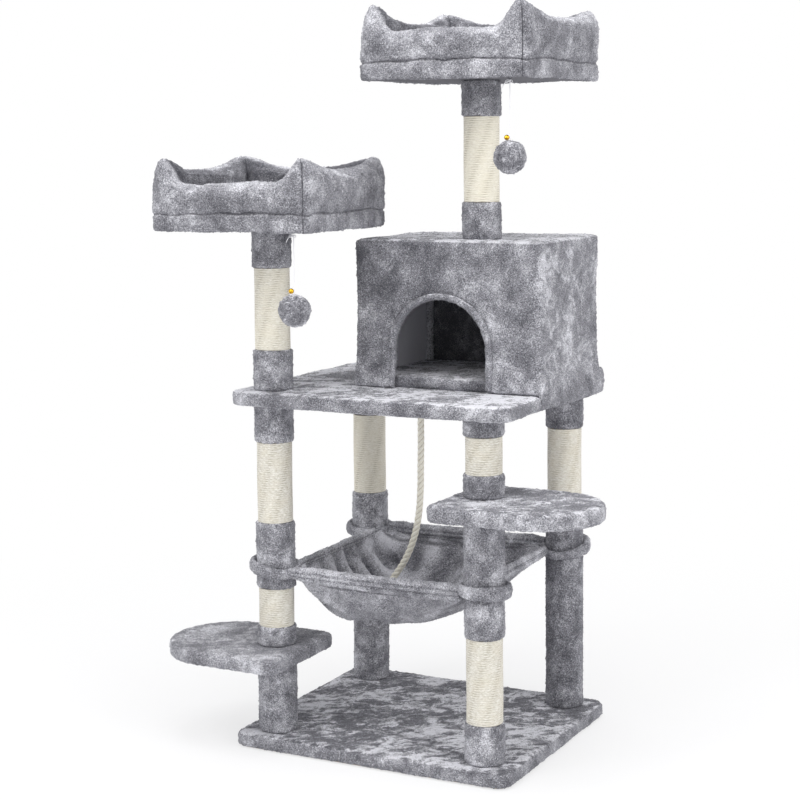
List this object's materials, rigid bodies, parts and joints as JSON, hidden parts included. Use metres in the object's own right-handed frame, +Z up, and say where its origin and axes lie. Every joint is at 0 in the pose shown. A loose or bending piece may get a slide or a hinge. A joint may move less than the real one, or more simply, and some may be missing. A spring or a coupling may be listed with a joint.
{
  "type": "cat tree",
  "caption": "Free-standing plush cat tree: base and deck on sisal posts, half-round perches, slung hammock, condo with an arched door, raised bolster beds, rope and swinging pompoms.",
  "frame": {"origin": "on the floor, at the middle of the base's underside", "axes": "+Z up; +X to the right and +Y to the back, seen from the side that the condo's door faces"},
  "size_m": [0.94, 0.6501, 1.5],
  "materials": {
    "plush_boards": "silver-grey short-pile plush glued over board",
    "plush_posts": "silver-grey short-pile plush wrapped round a tube",
    "hammock_plush": "silver-grey short-pile plush, soft and unfilled",
    "bolster_plush": "silver-grey short-pile plush over polyester filling",
    "pompom": "grey long-pile pompom",
    "sisal": "natural sisal rope, wound tight",
    "rope": "three-strand sisal rope",
    "cardboard": "spiral-wound cardboard tube with wooden plugs",
    "particle_board": "raw particle board",
    "string": "thin white cord",
    "bell": "polished brass"
  },
  "bodies": {
    "tree": {"back_left_deck_collar": "plush_posts", "back_left_post_core": "cardboard", "back_left_sisal": "sisal", "back_left_sleeve": "plush_posts", "back_right_deck_collar": "plush_posts", "back_right_post_core": "cardboard", "back_right_sisal": "sisal", "back_right_sleeve": "plush_posts", "base_board": "particle_board", "base_cover": "plush_boards", "condo_back": "plush_boards", "condo_floor": "plush_boards", "condo_front": "plush_boards", "condo_left": "plush_boards", "condo_right": "plush_boards", "condo_roof": "plush_boards", "deck_board": "particle_board", "deck_cover": "plush_boards", "front_left_deck_collar": "plush_posts", "front_left_hammock_sleeve": "plush_posts", "front_left_lower_post_core": "cardboard", "front_left_lower_sisal": "sisal", "front_left_lower_sleeve": "plush_posts", "front_left_middle_post_core": "cardboard", "front_left_perch_collar": "plush_posts", "front_left_upper_sisal": "sisal", "front_right_base_collar": "plush_posts", "front_right_deck_collar": "plush_posts", "front_right_hammock_sleeve": "plush_posts", "front_right_lower_post_core": "cardboard", "front_right_lower_sisal": "sisal", "front_right_perch_collar": "plush_posts", "front_right_upper_post_core": "cardboard", "front_right_upper_sisal": "sisal", "hammock": "hammock_plush", "left_bed_board": "particle_board", "left_bed_bolster": "bolster_plush", "left_bed_post_core": "cardboard", "left_bed_post_foot_collar": "plush_posts", "left_bed_post_sisal": "sisal", "left_bed_post_top_collar": "plush_posts", "lower_perch_board": "particle_board", "lower_perch_cover": "plush_boards", "right_bed_board": "particle_board", "right_bed_bolster": "bolster_plush", "right_bed_post_core": "cardboard", "right_bed_post_foot_collar": "plush_posts", "right_bed_post_sisal": "sisal", "right_bed_post_top_collar": "plush_posts", "rope": "rope", "side_perch_board": "particle_board", "side_perch_cover": "plush_boards"},
    "left_toy_tie": {"left_toy_knot": "string"},
    "left_toy": {"left_toy_string": "string", "left_toy_pompom": "pompom", "left_toy_bell": "bell"},
    "right_toy_tie": {"right_toy_knot": "string"},
    "right_toy": {"right_toy_string": "string", "right_toy_pompom": "pompom", "right_toy_bell": "bell"}
  },
  "joints": [
    {"name": "left_toy_swing_front_back", "type": "hinge", "parent": "tree", "child": "left_toy_tie", "pos_m": [-0.1016, -0.3397, 1.05945], "axis": [1, 0, 0], "range_deg": [-35, 35]},
    {"name": "left_toy_swing_side", "type": "hinge", "parent": "left_toy_tie", "child": "left_toy", "pos_m": [-0.1016, -0.3397, 1.05945], "axis": [0, 1, 0], "range_deg": [-35, 35]},
    {"name": "right_toy_swing_front_back", "type": "hinge", "parent": "tree", "child": "right_toy_tie", "pos_m": [0.2731, -0.16445, 1.34945], "axis": [1, 0, 0], "range_deg": [-35, 35]},
    {"name": "right_toy_swing_side", "type": "hinge", "parent": "right_toy_tie", "child": "right_toy", "pos_m": [0.2731, -0.16445, 1.34945], "axis": [0, 1, 0], "range_deg": [-35, 35]}
  ]
}
